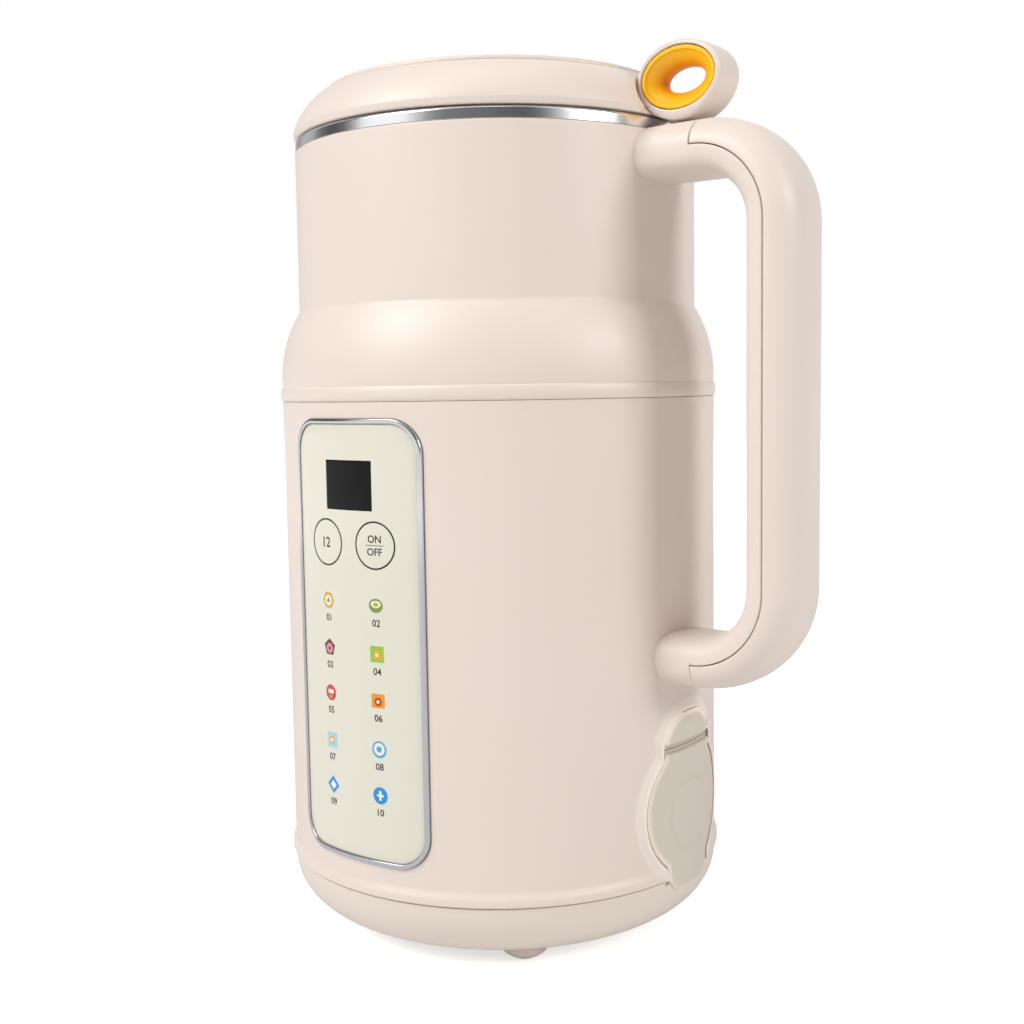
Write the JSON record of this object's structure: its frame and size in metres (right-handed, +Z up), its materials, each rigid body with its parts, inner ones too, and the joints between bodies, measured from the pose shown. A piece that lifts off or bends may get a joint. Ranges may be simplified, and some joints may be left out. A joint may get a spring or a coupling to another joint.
{
  "type": "soy milk maker",
  "caption": "Tall cream drum with narrower neck, lift-off domed lid with oval finger loop, side handle, key panel, steel cup with blade, and flap over the power inlet.",
  "frame": {"origin": "middle of the whole outline on the surface that the feet stand on; the machine's own axis is 17.65 mm from it towards -X", "axes": "+Z up along the body's axis, -Y towards the control panel, +X towards the handle"},
  "size_m": [0.1572, 0.1218, 0.2317],
  "materials": {
    "cream_plastic": "satin moulded",
    "base_plastic": "fine matt moulded",
    "panel_plastic": "smooth film under a clear coat",
    "cover_silicone": "matt silicone",
    "golden_insert": "satin moulded",
    "chrome": "polished",
    "steel": "brushed",
    "display_glass": "polished black",
    "foot_rubber": "matt",
    "seal_silicone": "matt",
    "circuit_board": "lacquered",
    "dark_plastic": "moulded",
    "copper": "wound and turned",
    "cast_aluminium": "cast",
    "magnet_steel": "plated",
    "brass": "drawn",
    "blue_plastic": "moulded",
    "carbon_foam": "matt"
  },
  "bodies": {
    "body": {"base_cover": "base_plastic", "foot_front_left": "foot_rubber", "foot_front_right": "foot_rubber", "foot_rear_left": "foot_rubber", "foot_rear_right": "foot_rubber", "base_screw_1": "steel", "base_screw_2": "steel", "base_screw_3": "steel", "lower_housing": "cream_plastic", "neck_sleeve": "cream_plastic", "steel_cup": "steel", "handle_inner": "cream_plastic", "handle_outer": "cream_plastic", "handle_screw_upper": "steel", "handle_screw_lower": "steel", "panel_trim": "chrome", "panel_face": "panel_plastic", "display_window": "display_glass", "display_board": "circuit_board", "key_pad_left": "carbon_foam", "key_pad_right": "carbon_foam", "inlet_socket": "dark_plastic", "inlet_pin_line": "brass", "inlet_pin_earth": "brass", "inlet_pin_neutral": "brass", "inlet_cover_head": "cover_silicone", "lid_switch": "display_glass", "shaft_seal": "seal_silicone", "heating_plate": "cast_aluminium", "heating_tube": "steel", "thermostat": "dark_plastic", "thermal_fuse": "seal_silicone", "temperature_probe": "brass", "motor_plate": "dark_plastic", "upper_bracket": "cast_aluminium", "lower_bracket": "cast_aluminium", "upper_bearing": "steel", "lower_bearing": "steel", "motor_stator": "copper", "brush_rear": "carbon_foam", "brush_front": "carbon_foam", "power_board": "circuit_board"},
    "lid": {"lid_shell": "cream_plastic", "lid_crown": "base_plastic", "lid_liner": "cream_plastic", "lid_seal": "seal_silicone", "lid_screw_1": "steel", "lid_screw_2": "steel", "lid_screw_3": "steel", "lid_loop": "cream_plastic", "loop_insert": "golden_insert", "lid_magnet": "magnet_steel"},
    "flap": {"inlet_cover_flap": "cover_silicone"},
    "drive": {"blade_shaft": "steel", "blade_spacer": "steel", "blade": "steel", "blade_nut": "steel", "motor_rotor": "copper", "commutator": "copper", "motor_fan": "blue_plastic"}
  },
  "joints": [
    {"name": "lid_lift", "type": "slide", "parent": "body", "child": "lid", "axis": [0, 0, 1], "range_m": [0, 0.06]},
    {"name": "flap_fold", "type": "hinge", "parent": "body", "child": "flap", "pos_m": [0.04275, 0, 0.05395], "axis": [0, -1, 0], "range_deg": [0, 95]},
    {"name": "blade_spin", "type": "hinge", "parent": "body", "child": "drive", "pos_m": [-0.01765, 0, 0.1], "axis": [0, 0, 1], "continuous": true}
  ]
}
